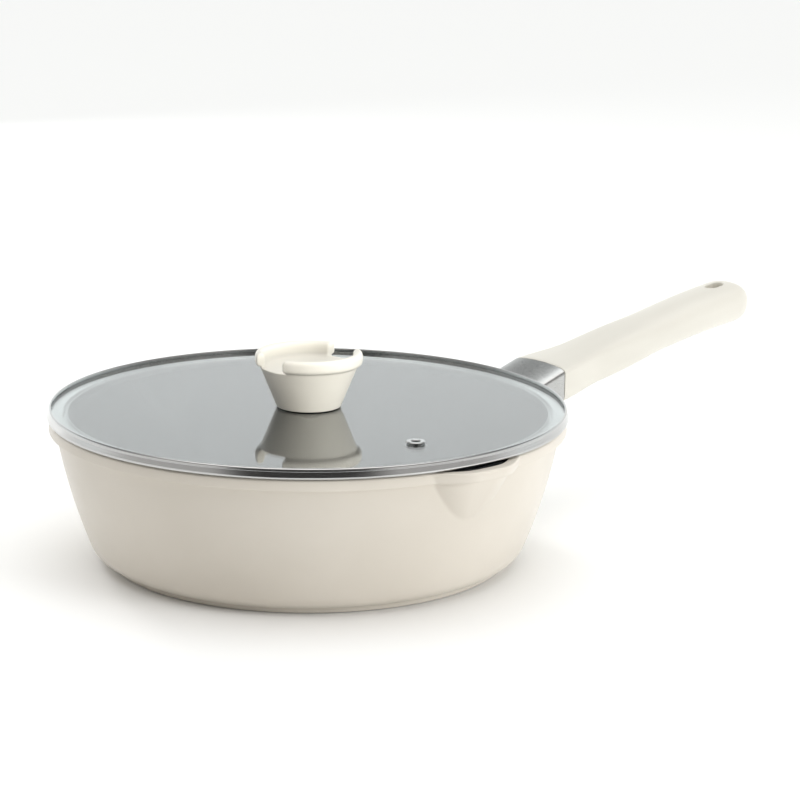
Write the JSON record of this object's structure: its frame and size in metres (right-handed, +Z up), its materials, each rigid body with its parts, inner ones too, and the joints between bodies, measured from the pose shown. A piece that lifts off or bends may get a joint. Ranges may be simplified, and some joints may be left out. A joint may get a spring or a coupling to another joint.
{
  "type": "saute pan with glass lid",
  "caption": "Deep round cast saute pan with pouring spouts, a long moulded handle on a steel ferrule, and a flat steel-rimmed glass lid with a notched knob.",
  "frame": {"origin": "centre of the pan's underside, on the plane it stands on", "axes": "+Z up out of the pan, +X along the handle, the two spouts at -Y and +Y"},
  "size_m": [0.494, 0.3082, 0.117],
  "materials": {
    "cream_coating": "smooth cream non-stick coating on cast aluminium, dark grey non-stick inside",
    "plate_steel": "brushed stainless steel",
    "ferrule_steel": "brushed stainless steel",
    "cream_resin": "satin moulded resin",
    "screw_steel": "plain stainless steel",
    "lid_glass": "clear tempered glass",
    "band_steel": "rolled stainless steel, lightly brushed",
    "seal_rubber": "dark silicone",
    "insert_brass": "turned brass"
  },
  "bodies": {
    "pan": {"pan_body": "cream_coating", "base_plate": "plate_steel", "handle_ferrule": "ferrule_steel", "handle_grip": "cream_resin", "handle_screw": "screw_steel", "handle_lock_washer": "screw_steel", "handle_flat_washer": "screw_steel"},
    "lid": {"lid_glass": "lid_glass", "lid_band": "band_steel", "vent_eyelet": "band_steel", "vent_washer": "screw_steel", "vent_gasket": "seal_rubber", "knob": "cream_resin", "knob_insert": "insert_brass", "knob_seal_upper": "seal_rubber", "knob_seal_lower": "seal_rubber", "knob_washer": "screw_steel", "knob_lock_washer": "screw_steel", "knob_screw": "screw_steel"}
  },
  "joints": [
    {"name": "lid_lift", "type": "slide", "parent": "pan", "child": "lid", "axis": [0, 0, 1], "range_m": [0, 0.15]}
  ]
}
